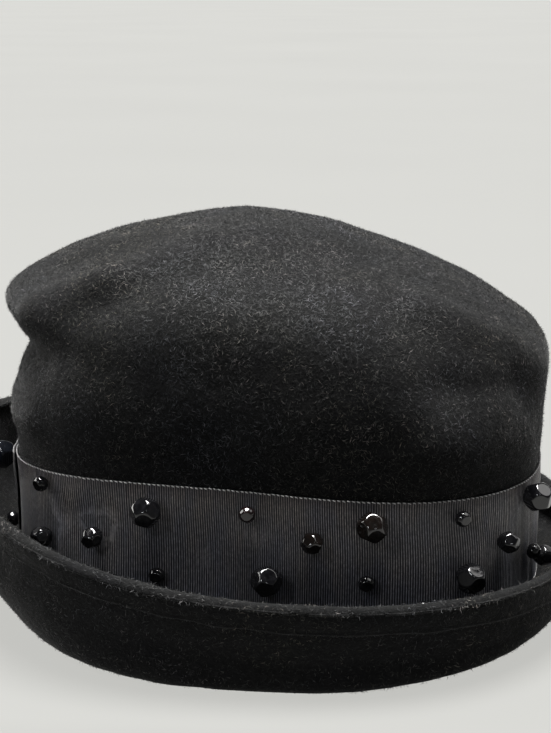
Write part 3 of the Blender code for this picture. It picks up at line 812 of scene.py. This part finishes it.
# ---------------------------------------------------------------- stage
def stage_floor():
    """A pale, softly lit table that darkens towards the viewer's side, out of the picture."""
    material = new_material("floor_pale", 0.9, 0.1)
    _, nodes, links, shader = shade(material)
    coords = nodes.new("ShaderNodeTexCoord").outputs["Object"]
    place = nodes.new("ShaderNodeSeparateXYZ")
    links.new(coords, place.inputs["Vector"])
    reach = node(nodes, "ShaderNodeMapRange")
    reach.inputs["From Min"].default_value = -0.36
    reach.inputs["From Max"].default_value = -0.125
    links.new(place.outputs["Y"], reach.inputs["Value"])
    fade = ramp(nodes, links, reach.outputs["Result"], [(0.0, 0.28, 0.28, 0.28), (1.0, 1.0, 1.0, 1.0)])
    grain = ramp(nodes, links, noise(nodes, links, coords, 2.0, 3.0, 0.5), [(0.3, 0.030, 0.030, 0.029), (0.7, 0.033, 0.033, 0.032)])
    glow = ramp(nodes, links, noise(nodes, links, coords, 1.5, 2.0, 0.5), [(0.3, 0.525, 0.525, 0.503), (0.7, 0.540, 0.540, 0.517)])
    links.new(mixed(nodes, links, "MULTIPLY", 1.0, grain, fade), shader.inputs["Base Color"])
    links.new(mixed(nodes, links, "MULTIPLY", 1.0, glow, fade), shader.inputs["Emission Color"])
    shader.inputs["Emission Strength"].default_value = 1.0
    ring = 40000.0 * np.array([[math.cos(t), math.sin(t), 0.0] for t in np.linspace(0, 2 * math.pi, 96, endpoint=False)])
    floor = mesh_from("floor", np.concatenate([ring, [[0, 0, 0]]]),
                      np.array([[k, (k + 1) % 96, 96] for k in range(96)]), material)


def lamp(name, kind, energy, place, aim, size=None, colour=(1.0, 1.0, 1.0)):
    light = bpy.data.lights.new(name, kind)
    light.energy = energy
    light.color = colour
    if kind == "SUN":
        light.angle = math.radians(size)
    else:
        light.shape = "RECTANGLE"
        light.size, light.size_y = size
    obj = bpy.data.objects.new(name, light)
    obj.location = place
    obj.rotation_mode = "QUATERNION"
    obj.rotation_quaternion = (Vector(place) - Vector(aim)).to_track_quat("Z", "Y")
    bpy.context.scene.collection.objects.link(obj)
    return obj


stage_floor()
lamp("softbox_top", "SUN", 13.0, (-0.02, 0.12, 1.0), (0, 0, 0), 34.0, (1.0, 0.995, 0.98))
lamp("side_left", "AREA", 11.0, (-1.1, 0.20, 0.45), (0, 0, 0.08), (0.7, 0.8), (1.0, 0.99, 0.96))
lamp("side_right", "AREA", 4.0, (0.85, 0.10, 1.20), (0, 0, 0.07), (0.7, 0.8), (1.0, 0.99, 0.97))
lamp("window_left", "AREA", 3.2, (-0.55, -1.0, 0.75), (0, 0, 0.05), (0.16, 0.24), (0.94, 0.97, 1.0))
lamp("window_right", "AREA", 0.6, (0.50, -1.1, 0.95), (0, 0, 0.05), (0.12, 0.20), (0.94, 0.97, 1.0))

world = bpy.data.worlds.new("studio")
bpy.context.scene.world = world
world.use_nodes = True
sky, joins = world.node_tree.nodes, world.node_tree.links
way = sky.new("ShaderNodeSeparateXYZ")
joins.new(sky.new("ShaderNodeTexCoord").outputs["Generated"], way.inputs["Vector"])
wall = ramp(sky, joins, way.outputs["Z"], [(0.0, 0.71, 0.71, 0.68), (0.20, 0.67, 0.67, 0.65), (0.45, 0.16, 0.16, 0.16), (1.0, 0.10, 0.10, 0.10)])
behind = ramp(sky, joins, way.outputs["Y"], [(0.0, 0.15, 0.15, 0.15), (0.25, 0.19, 0.19, 0.19), (0.60, 1.0, 1.0, 1.0), (1.0, 1.0, 1.0, 1.0)])
band = mixed(sky, joins, "MULTIPLY", 1.0, wall, behind)
joins.new(band, sky["Background"].inputs["Color"])

scene = bpy.context.scene
camera = bpy.data.cameras.new("photo")
photo = bpy.data.objects.new("photo", camera)
scene.collection.objects.link(photo)
scene.camera = photo
turned, raised = math.radians(5.164), math.radians(13.363)
back = Vector((math.sin(turned) * math.cos(raised), -math.cos(turned) * math.cos(raised), math.sin(raised)))
photo.location = Vector((0.000426, 0.0, 0.082946)) + 0.6026 * back
photo.rotation_mode = "QUATERNION"
photo.rotation_quaternion = back.to_track_quat("Z", "Y")
camera.sensor_fit = "HORIZONTAL"
camera.sensor_width = 36.0
camera.lens = 1651.8 / 551 * 36.0
camera.clip_start, camera.clip_end = 0.02, 100.0
scene.view_settings.view_transform = "Standard"
scene.view_settings.look = "None"
